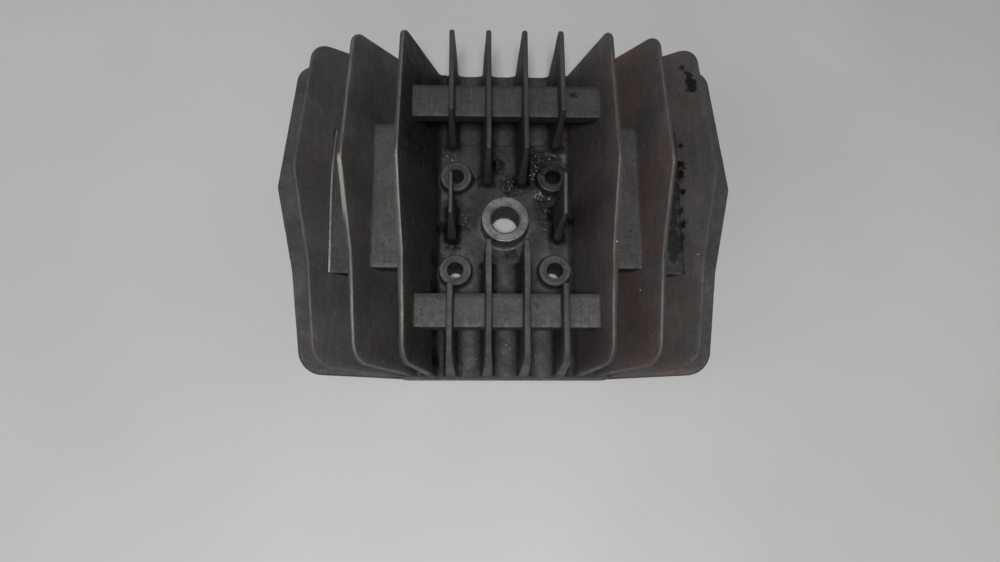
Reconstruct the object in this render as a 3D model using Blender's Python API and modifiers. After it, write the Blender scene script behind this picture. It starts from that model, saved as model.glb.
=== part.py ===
"""Fan-finned cylinder head of a small air-cooled two-stroke engine.

The head is a flat base that bolts to the cylinder with four studs and carries the spark plug in
its middle. Twelve cooling fins stand on it and run front to back. The four middle ones are upright
and are cut away where a spanner must reach the studs and the plug. The four on each side splay
outwards like a fan. Short webs tie neighbouring fins together at mid height.

Units are metres, +Z up. The origin is on the spark plug's axis, on the gasket face.
"""

import math

import bmesh
import bpy
from mathutils import Matrix

GAP = 0.0003  # clearance between neighbouring pieces

# Heights above the gasket face.
PAD_HEIGHT = 0.003  # round gasket pad below the base plate
FLOOR_Z = 0.012  # floor between the fins at both ends
PLATEAU_Z = FLOOR_Z + 0.003  # raised middle of the floor
BOSS_Z = FLOOR_Z + 0.008  # seats of the stud nuts
SEAT_Z = FLOOR_Z + 0.0134  # seat of the spark plug
BORE_END_Z = FLOOR_Z - 0.0043  # where the plug's thread opens into the chamber

# The base runs from the near end to the far end along Y.
NEAR_Y = -0.0765
FAR_Y = 0.0856
PLATEAU_NEAR_Y = -0.0420
PLATEAU_FAR_Y = 0.0445
PLATEAU_HALF_WIDTH = 0.0330

STUD_X = 0.0245
STUD_Y = 0.0247
STUD_HOLE_RADIUS = 0.0041
BOSS_RADIUS = 0.0078
RELIEF_RADIUS = 0.0056  # wider end of each stud hole, on the gasket side
RELIEF_DEPTH = 0.0040

SEAT_RADIUS = 0.0116
PLUG_BORE_RADIUS = 0.0067
BUSH_RADIUS = 0.0092

PAD_RADIUS = 0.0430
CHAMBER_RADIUS = 0.0220
SQUISH_DEPTH = 0.0010
BOWL_RADIUS = 0.0140

# Every fin's top edge peaks at PEAK_Y, and falls faster up to KINK_Y than beyond it.
PEAK_Y = 0.0165
KINK_Y = -0.0260
KINK_DROP = 0.0095
EDGE = 0.0005  # worn edges

# number counted outwards: root x, root height above the floor, splay, length, thickness low and high
FAN = {
    1: (0.00875, 0.0, 0.0, 0.0525, 0.0050, 0.0024),
    2: (0.02635, 0.0, 0.0, 0.0525, 0.0050, 0.0024),
    3: (0.03510, 0.0, 17.5, 0.0555, 0.0042, 0.0022),
    4: (0.04340, 0.0, 35.0, 0.0595, 0.0035, 0.0021),
    5: (0.04920, 0.0, 54.5, 0.0632, 0.0033, 0.0021),
    6: (0.04840, -0.006, 74.0, 0.0668, 0.0033, 0.0021),
}
# number: drop of the top edge below its peak at the far and the near end, radius of those corners
ENDS = {
    1: (0.0040, 0.0142, 0.0045, 0.0080),
    2: (0.0040, 0.0142, 0.0045, 0.0080),
    3: (0.0046, 0.0144, 0.0060, 0.0090),
    4: (0.0052, 0.0148, 0.0075, 0.0095),
    5: (0.0066, 0.0152, 0.0095, 0.0105),
    6: (0.0070, 0.0160, 0.0100, 0.0115),
}
ROOT_DEPTH = 0.006  # how far a fin is drawn into the base before the base is cut out of it

# Cut-backs of the upright fins around the studs and the plug.
PLUG_CLEARANCE_Y = 0.0205
STUD_CLEARANCE_Y = 0.0404
MIDDLE_HALF_LENGTH = 0.0094

# Webs: top height above the floor and extent along Y.
WEB_THICKNESS = 0.0065
FAR_BAR = (0.0373, 0.0435, 0.0600)
NEAR_BAR = (0.0300, -0.0587, -0.0426)
INNER_WEB = (0.0310, -0.0307, 0.0420)
OUTER_WEB = (0.0260, -0.0320, 0.0416)

for old in list(bpy.data.objects):
    bpy.data.objects.remove(old)

head = bpy.data.collections.new("cylinder_head")
cutters = bpy.data.collections.new("cutters")
for collection in (head, cutters):
    bpy.context.scene.collection.children.link(collection)


def paint(obj, colour, roughness, metallic):
    """Gives the object a Principled material of its own."""
    material = bpy.data.materials.new(obj.name)
    material.use_nodes = True
    shader = material.node_tree.nodes["Principled BSDF"]
    shader.inputs["Base Color"].default_value = (*colour, 1.0)
    shader.inputs["Roughness"].default_value = roughness
    shader.inputs["Metallic"].default_value = metallic
    obj.data.materials.append(material)


def add(bm, name, cutter=False):
    """Turns a bmesh into an object of the head, or into a hidden cutter."""
    bmesh.ops.recalc_face_normals(bm, faces=bm.faces)
    mesh = bpy.data.meshes.new(name)
    bm.to_mesh(mesh)
    bm.free()
    obj = bpy.data.objects.new(name, mesh)
    (cutters if cutter else head).objects.link(obj)
    if cutter:
        obj.hide_render = True
        obj.display_type = "WIRE"
    return obj


def combine(obj, other, operation):
    """Cuts another object out of this one, or joins it on."""
    boolean = obj.modifiers.new(f"{operation.lower()}_{other.name}", "BOOLEAN")
    boolean.operation = operation
    boolean.solver = "EXACT"
    boolean.object = other


def prism(outline, y_low, y_high, name, cutter=False):
    """A cross-section of (x, z) points drawn out along Y."""
    bm = bmesh.new()
    face = bm.faces.new([bm.verts.new((x, y_low, z)) for x, z in outline])
    drawn = bmesh.ops.extrude_face_region(bm, geom=[face])
    moved = [v for v in drawn["geom"] if isinstance(v, bmesh.types.BMVert)]
    bmesh.ops.translate(bm, verts=moved, vec=(0.0, y_high - y_low, 0.0))
    return add(bm, name, cutter)


def cylinder(x, y, z_low, z_high, radius, name, segments=32, top_radius=None, cutter=True):
    """An upright cylinder, or a cone when the top radius differs."""
    bm = bmesh.new()
    bmesh.ops.create_cone(
        bm,
        cap_ends=True,
        segments=segments,
        radius1=radius,
        radius2=radius if top_radius is None else top_radius,
        depth=z_high - z_low,
        matrix=Matrix.Translation((x, y, (z_low + z_high) / 2)),
    )
    return add(bm, name, cutter)


def turned(profile, name, steps=48, cutter=False):
    """A profile of (radius, height) points turned about Z."""
    bm = bmesh.new()
    points = [bm.verts.new((radius, 0.0, height)) for radius, height in profile]
    for start, end in zip(points, points[1:]):
        bm.edges.new((start, end))
    mesh = bpy.data.meshes.new(name)
    bm.to_mesh(mesh)
    bm.free()
    obj = bpy.data.objects.new(name, mesh)
    (cutters if cutter else head).objects.link(obj)
    if cutter:
        obj.hide_render = True
        obj.display_type = "WIRE"
    screw = obj.modifiers.new("turn", "SCREW")
    screw.axis = "Z"
    screw.steps = steps
    screw.render_steps = steps
    screw.use_merge_vertices = True
    screw.merge_threshold = 0.00001
    return obj


def wear_edges(obj, width=EDGE):
    """Breaks the sharp edges, as casting and handling leave them."""
    bevel = obj.modifiers.new("worn_edges", "BEVEL")
    bevel.width = width
    bevel.segments = 1
    bevel.limit_method = "ANGLE"
    bevel.angle_limit = math.radians(40.0)


def rounded(corners, segments=5):
    """The outline through (along, up, radius) corners, each rounded to its radius."""
    outline = []
    for index, (y, s, radius) in enumerate(corners):
        before = corners[index - 1]
        after = corners[(index + 1) % len(corners)]
        if radius == 0.0:
            outline.append((y, s))
            continue
        back = math.atan2(before[1] - s, before[0] - y)
        ahead = math.atan2(after[1] - s, after[0] - y)
        half = (ahead - back) / 2
        reach = radius / abs(math.tan(half))
        centre_angle = back + half
        centre_reach = radius / abs(math.sin(half))
        if math.cos(half) < 0.0:
            centre_angle += math.pi
        centre_y = y + centre_reach * math.cos(centre_angle)
        centre_s = s + centre_reach * math.sin(centre_angle)
        start = (y + reach * math.cos(back), s + reach * math.sin(back))
        end = (y + reach * math.cos(ahead), s + reach * math.sin(ahead))
        first = math.atan2(start[1] - centre_s, start[0] - centre_y)
        last = math.atan2(end[1] - centre_s, end[0] - centre_y)
        turn = (last - first + math.pi) % (2 * math.pi) - math.pi
        for step in range(segments + 1):
            angle = first + turn * step / segments
            outline.append((centre_y + radius * math.cos(angle), centre_s + radius * math.sin(angle)))
    return outline


def drop(number, y):
    """How far a fin's top edge lies below its peak."""
    far_drop, near_drop, _, _ = ENDS[number]
    if y >= PEAK_Y:
        return far_drop * (y - PEAK_Y) / (FAR_Y - PEAK_Y)
    if y >= KINK_Y:
        return KINK_DROP * (PEAK_Y - y) / (PEAK_Y - KINK_Y)
    return KINK_DROP + (near_drop - KINK_DROP) * (KINK_Y - y) / (KINK_Y - NEAR_Y)


def half_thickness(number, up):
    """Half of a fin's thickness at a distance up from its root."""
    _, _, _, length, low, high = FAN[number]
    return (low + (high - low) * up / length) / 2


def fin(number, side, y_low, y_high, name):
    """One fin, or the stretch of it from y_low to y_high, cut to the base."""
    root_x, root_z, splay, length, _, _ = FAN[number]
    _, _, far_corner, near_corner = ENDS[number]
    corners = [(y_low, -ROOT_DEPTH, 0.0)]
    corners.append((y_low, length - drop(number, y_low), near_corner if y_low == NEAR_Y else 0.0))
    inner = [y for y in (KINK_Y, PEAK_Y) if y_low < y < y_high]
    corners += [(y, length - drop(number, y), 0.0) for y in inner]
    corners.append((y_high, length - drop(number, y_high), far_corner if y_high == FAR_Y else 0.0))
    corners.append((y_high, -ROOT_DEPTH, 0.0))
    bm = bmesh.new()
    face = bm.faces.new([bm.verts.new((0.0, y, up)) for y, up in rounded(corners)])
    drawn = bmesh.ops.extrude_face_region(bm, geom=[face])
    far_side = {v for v in drawn["geom"] if isinstance(v, bmesh.types.BMVert)}
    for vert in bm.verts:
        vert.co.x = half_thickness(number, vert.co.z) * (1 if vert in far_side else -1)
    lean = Matrix.Rotation(math.radians(splay), 4, "Y")
    place = Matrix.Translation((root_x, 0.0, FLOOR_Z + root_z))
    mirror = Matrix.Scale(side, 4, (1.0, 0.0, 0.0))
    bmesh.ops.transform(bm, matrix=mirror @ place @ lean, verts=bm.verts)
    obj = add(bm, name)
    combine(obj, base_clearance, "DIFFERENCE")
    wear_edges(obj)
    paint(obj, (0.045, 0.042, 0.039), 0.65, 0.6)
    return obj


def face_x(number, height, outward):
    """Where a fin's outer (outward 1) or inner (outward -1) face is at a height above the floor."""
    root_x, root_z, splay, length, low, high = FAN[number]
    lean = math.radians(splay)
    taper = (high - low) / length / 2
    up = (height - root_z + outward * low / 2 * math.sin(lean)) / (
        math.cos(lean) - outward * taper * math.sin(lean)
    )
    return root_x + up * math.sin(lean) + outward * half_thickness(number, up) * math.cos(lean)


def web(inner, outer, side, extent, name):
    """A web from the fin numbered inner to the fin numbered outer. Inner 0 means its mirror twin."""
    top, y_low, y_high = extent
    outline = []
    for height, ends in ((top, (1, -1)), (top - WEB_THICKNESS, (-1, 1))):
        left = -face_x(1, height, -1) if inner == 0 else face_x(inner, height, 1)
        right = face_x(outer, height, -1)
        clearance = 1.2 * GAP
        pair = (left + clearance, right - clearance)
        outline += [pair[0], pair[1]] if ends == (1, -1) else [pair[1], pair[0]]
    low = FLOOR_Z + top - WEB_THICKNESS
    heights = (FLOOR_Z + top, FLOOR_Z + top, low, low)
    obj = prism([(side * x, z) for x, z in zip(outline, heights)], y_low, y_high, name)
    wear_edges(obj, 0.0003)
    paint(obj, (0.10, 0.10, 0.098), 0.6, 0.6)
    return obj


def plate_section(grow):
    """The base plate's cross-section, grown on every side by a clearance."""
    half = [(0.0468, 0.0), (0.0486, -0.0030), (0.0490, -0.0065), (0.0470, -0.0090)]
    grown = [(x + grow, FLOOR_Z + z + (grow if z > -0.008 else -grow)) for x, z in half]
    return grown + [(-x, z) for x, z in reversed(grown)]


def base_body(grow, name, cutter):
    """The base plate with its raised middle."""
    body = prism(plate_section(grow), NEAR_Y - 20 * grow, FAR_Y + 20 * grow, name, cutter)
    width = PLATEAU_HALF_WIDTH + grow
    sides = [
        (-width, FLOOR_Z - 0.001),
        (width, FLOOR_Z - 0.001),
        (width - 0.001, PLATEAU_Z + grow),
        (-width + 0.001, PLATEAU_Z + grow),
    ]
    near = PLATEAU_NEAR_Y - grow
    far = PLATEAU_FAR_Y + grow
    combine(body, prism(sides, near, far, f"{name}_plateau", True), "UNION")
    return body


# The base's outline with clearance all round, which every fin is cut to.
base_clearance = base_body(GAP, "base_clearance", True)

# %% The base: plate, gasket pad, stud bosses, chamber and holes
base = base_body(0.0, "base_plate", False)
pad = cylinder(0.0, 0.0, 0.0, FLOOR_Z - 0.007, PAD_RADIUS, "gasket_pad", 64, PAD_RADIUS + 0.001)
combine(base, pad, "UNION")
stud_places = [(x, y) for x in (-STUD_X, STUD_X) for y in (-STUD_Y, STUD_Y)]
for place, (x, y) in enumerate(stud_places):
    foot = PLATEAU_Z - 0.001
    name = f"stud_boss_{place}"
    boss = cylinder(x, y, foot, BOSS_Z, BOSS_RADIUS + 0.0004, name, 32, BOSS_RADIUS)
    combine(base, boss, "UNION")
for place, (x, y) in enumerate(stud_places):
    hole = cylinder(x, y, -0.001, BOSS_Z + 0.001, STUD_HOLE_RADIUS, f"stud_hole_{place}")
    combine(base, hole, "DIFFERENCE")
    relief = cylinder(x, y, -0.001, RELIEF_DEPTH, RELIEF_RADIUS, f"stud_relief_{place}")
    combine(base, relief, "DIFFERENCE")
bowl_depth = BORE_END_Z - SQUISH_DEPTH
bowl_sphere = (BOWL_RADIUS**2 + bowl_depth**2) / (2 * bowl_depth)
bowl = []
for step in range(9):
    radius = BOWL_RADIUS * step / 8
    bowl.append((radius, BORE_END_Z - bowl_sphere + math.sqrt(bowl_sphere**2 - radius**2)))
chamber_profile = bowl + [
    (CHAMBER_RADIUS, SQUISH_DEPTH),
    (CHAMBER_RADIUS, -0.002),
    (0.0, -0.002),
]
combine(base, turned(chamber_profile, "chamber", 48, True), "DIFFERENCE")
bush_hole = cylinder(0.0, 0.0, 0.0, PLATEAU_Z + 0.002, BUSH_RADIUS + GAP, "bush_hole")
combine(base, bush_hole, "DIFFERENCE")
paint(base, (0.085, 0.085, 0.09), 0.6, 0.6)

# %% The plug seat: a bush through the base with the seat ring on top
seat_chamfer = 0.0007
seat_profile = [
    (PLUG_BORE_RADIUS + seat_chamfer, SEAT_Z),
    (SEAT_RADIUS - 0.0004, SEAT_Z),
    (SEAT_RADIUS, SEAT_Z - 0.0004),
    (SEAT_RADIUS, PLATEAU_Z + GAP),
    (BUSH_RADIUS, PLATEAU_Z + GAP),
    (BUSH_RADIUS, BORE_END_Z),
    (PLUG_BORE_RADIUS, BORE_END_Z),
    (PLUG_BORE_RADIUS, SEAT_Z - seat_chamfer),
    (PLUG_BORE_RADIUS + seat_chamfer, SEAT_Z),
]
seat = turned(seat_profile, "plug_seat")
seat.data.shade_smooth()
seat.data.set_sharp_from_angle(angle=math.radians(35.0))
paint(seat, (0.42, 0.41, 0.40), 0.4, 0.9)

# %% The fins and the webs between them, on the left and on the right
for side, hand in ((-1, "left"), (1, "right")):
    fin(1, side, PLUG_CLEARANCE_Y, FAR_Y, f"fin_{hand}_1_far")
    fin(1, side, NEAR_Y, -PLUG_CLEARANCE_Y, f"fin_{hand}_1_near")
    fin(2, side, STUD_CLEARANCE_Y, FAR_Y, f"fin_{hand}_2_far")
    fin(2, side, -MIDDLE_HALF_LENGTH, MIDDLE_HALF_LENGTH, f"fin_{hand}_2_middle")
    fin(2, side, NEAR_Y, -STUD_CLEARANCE_Y, f"fin_{hand}_2_near")
    for number in (3, 4, 5, 6):
        fin(number, side, NEAR_Y, FAR_Y, f"fin_{hand}_{number}")
    for inner, outer in ((1, 2), (2, 3)):
        web(inner, outer, side, FAR_BAR, f"web_far_{hand}_{inner}_{outer}")
        web(inner, outer, side, NEAR_BAR, f"web_near_{hand}_{inner}_{outer}")
    web(3, 4, side, INNER_WEB, f"web_{hand}_3_4")
    web(4, 5, side, OUTER_WEB, f"web_{hand}_4_5")
web(0, 1, 1, FAR_BAR, "web_far_centre")
web(0, 1, 1, NEAR_BAR, "web_near_centre")
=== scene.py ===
# %% [markdown]
# # Cylinder head of a small air-cooled two-stroke engine
# The real head is one aluminium casting: a plate that bolts onto the cylinder, a seat for the
# spark plug, and twelve cooling fins that open like a fan. Heat, oil and handling have turned it
# grey-brown, with soot in the corners and bright metal on the fin edges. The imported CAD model
# gives every place and size. Each piece here is a finer casting in the same place, with fillets
# where fins grow out of the plate, rounded tops, small dents and dirt.

# %% Load the frame
import math
import random
from functools import partial

import bmesh
import bpy
from mathutils import Matrix, Vector, noise


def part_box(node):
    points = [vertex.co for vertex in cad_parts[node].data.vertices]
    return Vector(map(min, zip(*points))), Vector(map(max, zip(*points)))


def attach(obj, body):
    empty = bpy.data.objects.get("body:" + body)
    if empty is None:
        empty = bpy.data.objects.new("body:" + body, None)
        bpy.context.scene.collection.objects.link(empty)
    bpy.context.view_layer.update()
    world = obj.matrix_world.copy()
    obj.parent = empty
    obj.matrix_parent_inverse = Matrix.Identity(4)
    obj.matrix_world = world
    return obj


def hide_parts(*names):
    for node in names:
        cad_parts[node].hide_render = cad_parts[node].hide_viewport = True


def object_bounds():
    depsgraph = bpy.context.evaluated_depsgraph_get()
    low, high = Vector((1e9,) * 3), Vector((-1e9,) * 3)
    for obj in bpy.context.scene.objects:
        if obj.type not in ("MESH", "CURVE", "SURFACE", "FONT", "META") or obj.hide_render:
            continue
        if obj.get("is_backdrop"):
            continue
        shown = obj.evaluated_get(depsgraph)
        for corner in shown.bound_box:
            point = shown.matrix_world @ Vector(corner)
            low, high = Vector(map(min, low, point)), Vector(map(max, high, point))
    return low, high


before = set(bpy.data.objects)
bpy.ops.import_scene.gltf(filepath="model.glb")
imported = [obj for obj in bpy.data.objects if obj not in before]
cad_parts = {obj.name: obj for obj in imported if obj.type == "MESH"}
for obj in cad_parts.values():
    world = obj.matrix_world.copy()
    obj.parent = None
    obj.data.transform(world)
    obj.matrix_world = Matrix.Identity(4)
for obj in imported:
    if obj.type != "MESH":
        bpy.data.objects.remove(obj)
cad_low, cad_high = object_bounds()
MM = 0.001
print("CAD size in mm:", [round(side / MM, 1) for side in cad_high - cad_low])


def placed(name, data):
    """A new object in the scene, at the origin."""
    made = bpy.data.objects.new(name, data)
    bpy.context.scene.collection.objects.link(made)
    return made


# %% [markdown]
# ## Camera
# The head is seen from above, from a little nearer than its middle, so the near faces of the
# cut-back fins show. A 32 mm lens at under half a metre gives the strong perspective that
# spreads the tall fins apart. The turns are in the order Y, X, Z: roll, tilt and turn.

# %% Camera
CAMERA_PLACE = (-16.8 * MM, -152.2 * MM, 438.2 * MM)
CAMERA_TURN = (16.24, -1.95, 0.28)
camera_data = bpy.data.cameras.new("camera")
camera_data.lens = 32.08
camera_data.sensor_width = 36.0
camera = placed("camera", camera_data)
camera.rotation_mode = "YXZ"
camera.rotation_euler = [math.radians(turn) for turn in CAMERA_TURN]
camera.location = CAMERA_PLACE
bpy.context.scene.camera = camera
print("camera height in mm:", round(CAMERA_PLACE[2] / MM))

# %% [markdown]
# ## Places read from the frame
# The heights and the ends come from the CAD node's box. The bolt pattern and the fan of fins
# have a few numbers of their own, the same ones that the CAD model is drawn from: where each
# fin's root stands, how far it leans, how long and how thick it is.

# %% Sizes
base_low, base_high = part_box("base_plate")
NEAR_Y, FAR_Y = base_low.y, base_high.y
BOSS_RISE = 8.0 * MM  # how far the stud bosses stand above the floor
FLOOR_Z = base_high.z - BOSS_RISE
PLATEAU = (-42.0 * MM, 44.5 * MM)  # near and far end of the plate's raised middle
PLATEAU_RISE = 3.0 * MM
STUD_X, STUD_Y = 24.5 * MM, 24.7 * MM
# A fin's top edge peaks beyond the plug and bends again on the near side, lower by the drop
PEAK_Y, KINK_Y, KINK_DROP = 16.5 * MM, -26.0 * MM, 9.5 * MM
# Upright fins end this far from the middle: beside the plug, beside a stud, and between studs
CUT_PLUG, CUT_STUD, CUT_MIDDLE = 20.5 * MM, 40.4 * MM, 9.4 * MM

# number: root x, root height above the floor, lean in degrees, length, thickness low and high
FAN = {
    1: (8.75, 0, 0, 52.5, 5, 2.1),
    2: (26.35, 0, 0, 52.5, 5, 2.1),
    3: (35.1, 0, 17.5, 55.5, 4.2, 2.2),
    4: (43.4, 0, 35, 59.5, 3.5, 2.1),
    5: (49.2, 0, 54.5, 63.2, 3.3, 2.1),
    6: (48.4, -6, 74, 66.8, 3.3, 2.1),
}
# number: drop of the top edge at the far and near ends, radius of those corners
ENDS = {
    1: (4, 14.2, 4.5, 8),
    2: (4, 14.2, 4.5, 8),
    3: (4.6, 14.4, 6, 9),
    4: (5.2, 14.8, 7.5, 9.5),
    5: (6.6, 15.2, 9.5, 10.5),
    6: (7, 16, 10, 11.5),
}
print("floor and boss tops in mm:", [round(z / MM, 1) for z in (FLOOR_Z, base_high.z)])

# %% [markdown]
# ## Where the dirt, the wear and the painted shade lie
# Soot gathers in corners, oil runs from the bolts and the plug, and the fin edges rub bright.
# Corners, recesses and faces turned from the light are painted darker too, as painted shade.
# A shader can't know where a corner is, so each point of each mesh gets three numbers when it
# is made: soot with painted shade, stain and wear. The materials break up their edges with noise.

# %% Oil stains, as balls in space: x, y, z and radius in mm, strength
STAINS = [
    (17, 33.5, 15, 10, 1), (21, 28, 15, 9, 1), (14, 25, 15, 7.5, 0.9), (24.5, 25, 18, 9, 0.9),
    (11.5, 40, 15, 7, 0.9), (21, 13, 15, 8, 0.9), (27, 37, 15, 5, 0.6), (3, 21, 15, 8, 0.8),
    (-3, 32, 15, 6.5, 0.8), (-14, 24, 15, 5, 0.5), (3, -14, 15, 5, 1), (9, -9, 15, 3.5, 0.6),
    (-26.4, -3, 17, 7, 1), (-26.4, -11, 15.5, 5, 0.9), (-20.5, -1.5, 15, 3.4, 0.9),
    (-31.5, -1.5, 15, 3.8, 0.9), (-31, -17.5, 15, 2.2, 0.7), (26.4, -4, 18, 7, 0.9),
    (31, 3, 16, 6, 0.9), (21.5, 4, 16, 7, 0.7), (-34, -18, 20, 5, 0.9), (-35, -33, 19, 6, 0.9),
    (-34.5, -52, 18, 6.5, 0.9), (-33, -68, 16, 6, 0.7), (-37, 52, 32, 9, 0.8), (-40, 66, 44, 7, 0.8),
    (88.9, 75.5, 41.8, 1.5, 1), (90.2, 72, 42.7, 1.8, 1.1), (91.5, 69.5, 43.6, 2.2, 1.3),
    (92.5, 65.5, 44.3, 2.8, 1.5), (92.8, 62, 44.5, 2.4, 1.4),
    # Dark spots on the bars
    (31.9, 55.1, 49.3, 1.7, 1.1), (34.1, 54.5, 49.3, 1.3, 0.9), (13.7, -48.2, 42, 2.6, 0.75),
    (-34.9, -44.4, 42, 1.3, 0.9), (-32.4, -44.6, 42, 1.2, 0.8),
    # Oil that has run along the outer right web, beside the fifth fin
    (85, 34, 39, 1.8, 1.1), (84.6, 24, 38.8, 2.4, 1.2), (84.6, 18.5, 38.8, 3, 1.3),
    (85.3, 9.5, 39.2, 2, 1.1), (83.6, -0.5, 38.1, 2.2, 1.2), (84.3, -7.5, 38.6, 2.4, 1.2),
    (82.3, -14.5, 37.6, 3.6, 1.3), (81, -19, 37.6, 3.8, 1.3), (79.6, -24, 37.8, 3, 1.1),
]
STAINS += [(81.0 - 0.5 * i, 12.0 - 6.0 * i, 38, 4.2, 1.2) for i in range(6)]
# Oil at the foot of the second fin's middle stretch on the left
STAINS += [(-30.5 + 3.0 * i, 14.0 - i, 15, 2.2, 0.5) for i in range(4)]


def stain_at(point):
    """How oily a point in space is, from 0 to 1."""
    worst = 0.0
    for *centre, radius, strength in STAINS:
        distance = (point - Vector(centre) * MM).length / (radius * MM)
        worst = max(worst, strength * max(0.0, 1.0 - distance * distance))
    return worst


def smooth(low, high, value):
    """0 below low, 1 above high, and an even curve between them."""
    share = min(1.0, max(0.0, (value - low) / (high - low)))
    return share * share * (3.0 - 2.0 * share)


def ramp(low, high, length):
    """The same between two sizes in mm, for a length in metres."""
    return smooth(low * MM, high * MM, length)


print("oil stains:", len(STAINS))

# %% [markdown]
# ## Materials
# What the eye sees on cast aluminium is not the metal but the film on it: oxide and baked oil,
# dull and brown-grey. The film is painted from noise at real sizes, in layers from the widest
# to the finest, and the bare metal shows where the wear number is high.

# %% Helpers for materials
MIX_SHARE, MIX_A, MIX_B, MIX_COLOUR = 0, 6, 7, 2


def linear(hex_colour):
    """An sRGB hex colour as the linear RGBA that shaders work in."""
    channels = [int(hex_colour[i : i + 2], 16) / 255.0 for i in (1, 3, 5)]
    return (*[c / 12.92 if c <= 0.04045 else ((c + 0.055) / 1.055) ** 2.4 for c in channels], 1.0)


def node(tree, kind, links=(), **settings):
    """Adds a shader node, changes its settings, and fills its inputs with values or links."""
    made = tree.nodes.new("ShaderNode" + kind)
    for name, value in settings.items():
        setattr(made, name, value)
    for socket, value in dict(links).items():
        if isinstance(value, bpy.types.NodeSocket):
            tree.links.new(value, made.inputs[socket])
        else:
            made.inputs[socket].default_value = value
    return made


def start_material(name, roughness, metallic):
    """A new material with its tree, its shader, each point's place in metres, and a maker of
    noise masks at that place."""
    material = bpy.data.materials.new(name)
    material.use_nodes = True
    tree = material.node_tree
    shader = tree.nodes["Principled BSDF"]
    shader.inputs["Roughness"].default_value = roughness
    shader.inputs["Metallic"].default_value = metallic
    place = node(tree, "TexCoord").outputs["Object"]
    return material, tree, shader, place, partial(patches, tree, place)


def patches(tree, place, size, low, high, stretch=(1.0, 1.0, 1.0), detail=4.0, rough=0.6):
    """A mask of soft patches of one size in mm. Stretch makes them longer along an axis."""
    scale = [1.0 / (size * MM * share) for share in stretch]
    spread = node(tree, "Mapping", {"Vector": place, "Scale": scale})
    links = {"Vector": spread.outputs[0], "Scale": 1.0, "Detail": detail, "Roughness": rough}
    cloud = node(tree, "TexNoise", links).outputs[0]
    links = {"Value": cloud, "From Min": low, "From Max": high}
    return node(tree, "MapRange", links, interpolation_type="SMOOTHSTEP").outputs["Result"]


def times(tree, one, other):
    """Two masks or numbers multiplied."""
    return node(tree, "Math", {0: one, 1: other}, operation="MULTIPLY").outputs[0]


def layer(tree, below, mask, colour, strength=None):
    """Paints a colour over what is below, as far as the mask goes, or that times a strength."""
    below, colour = (linear(one) if isinstance(one, str) else one for one in (below, colour))
    share = mask if strength is None else times(tree, mask, strength)
    links = {MIX_SHARE: share, MIX_A: below, MIX_B: colour}
    return node(tree, "Mix", links, data_type="RGBA").outputs[MIX_COLOUR]


def coats(tree, colour, *paints):
    """Paints several layers, the lowest first. Each has a mask, a colour and a strength."""
    for mask, paint, strength in paints:
        colour = layer(tree, colour, mask, paint, strength)
    return colour


def stain_mask(tree, ragged, low):
    """Where stains lie: their balls, with edges broken up by a noise mask."""
    value = node(tree, "Attribute", attribute_name="stain").outputs["Fac"]
    spread = node(tree, "Math", {0: ragged, 1: 0.7, 2: -0.35}, operation="MULTIPLY_ADD")
    total = node(tree, "Math", {0: value, 1: spread.outputs[0]}, operation="ADD").outputs[0]
    links = {"Value": total, "From Min": low, "From Max": 0.8}
    kept = node(tree, "MapRange", links, interpolation_type="SMOOTHSTEP").outputs["Result"]
    present = node(tree, "Math", {0: value, 1: 0.02}, operation="GREATER_THAN")
    return times(tree, kept, present.outputs[0])


def clouded(tree, attribute, cloud, least):
    """A mesh attribute made uneven by a noise mask, which leaves at least a share of it."""
    value = node(tree, "Attribute", attribute_name=attribute).outputs["Fac"]
    uneven = node(tree, "Math", {0: cloud, 1: 0.7, 2: least}, operation="MULTIPLY_ADD")
    share = times(tree, value, uneven.outputs[0])
    return node(tree, "MapRange", {"Value": share, "From Max": 1.0}).outputs["Result"]


def soiled_and_shaded(tree, place, colour, size, soot_and_shade_paint, stain_paint, stain_low=0.1):
    """Lays soot and painted shade, and then stains, over a colour. Each paint is a colour and its
    strength.
    """
    ragged = patches(tree, place, size, 0.2, 0.8)
    colour = layer(tree, colour, clouded(tree, "soot_and_shade", ragged, 0.65), *soot_and_shade_paint)
    stain = stain_mask(tree, ragged, stain_low)
    return layer(tree, colour, stain, *stain_paint), stain, ragged


def round_the_axis(tree, place):
    """How high a point is, and how far from the plug's axis."""
    parts = node(tree, "SeparateXYZ", {"Vector": place}).outputs
    flat = node(tree, "CombineXYZ", {"X": parts["X"], "Y": parts["Y"]})
    radius = node(tree, "VectorMath", {0: flat.outputs[0]}, operation="LENGTH")
    return parts["Z"], radius.outputs["Value"]


def lathe_rings(tree, radius, pitch):
    """The fine rings that a turning tool leaves, a pitch in mm apart."""
    phase = times(tree, radius, 2.0 * math.pi / (pitch * MM))
    return node(tree, "Math", {0: phase}, operation="SINE").outputs[0]


def surface(tree, shader, colour, bare, metallic, patchy, roughness, film=None, change=0.0):
    """Joins colour, metal and roughness to the shader. Each pair of numbers is what a mask of 0
    and one of 1 give, and a film of oil or soot changes the roughness under it."""
    tree.links.new(colour, shader.inputs["Base Color"])
    for mask, pair, socket in ((bare, metallic, "Metallic"), (patchy, roughness, "Roughness")):
        links = {"Value": mask, "To Min": pair[0], "To Max": pair[1]}
        value = node(tree, "MapRange", links).outputs["Result"]
        if film and socket == "Roughness":
            links = {0: film, 1: change, 2: value}
            value = node(tree, "Math", links, operation="MULTIPLY_ADD").outputs[0]
        tree.links.new(value, shader.inputs[socket])


def relief(tree, shader, layers):
    """Bumps stacked on one another: (mask, height in mm) pairs, the widest first."""
    normal = None
    for mask, height in layers:
        links = {"Height": mask, "Distance": height * MM, "Strength": 1.0}
        if normal:
            links["Normal"] = normal
        normal = node(tree, "Bump", links).outputs["Normal"]
    tree.links.new(normal, shader.inputs["Normal"])


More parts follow.
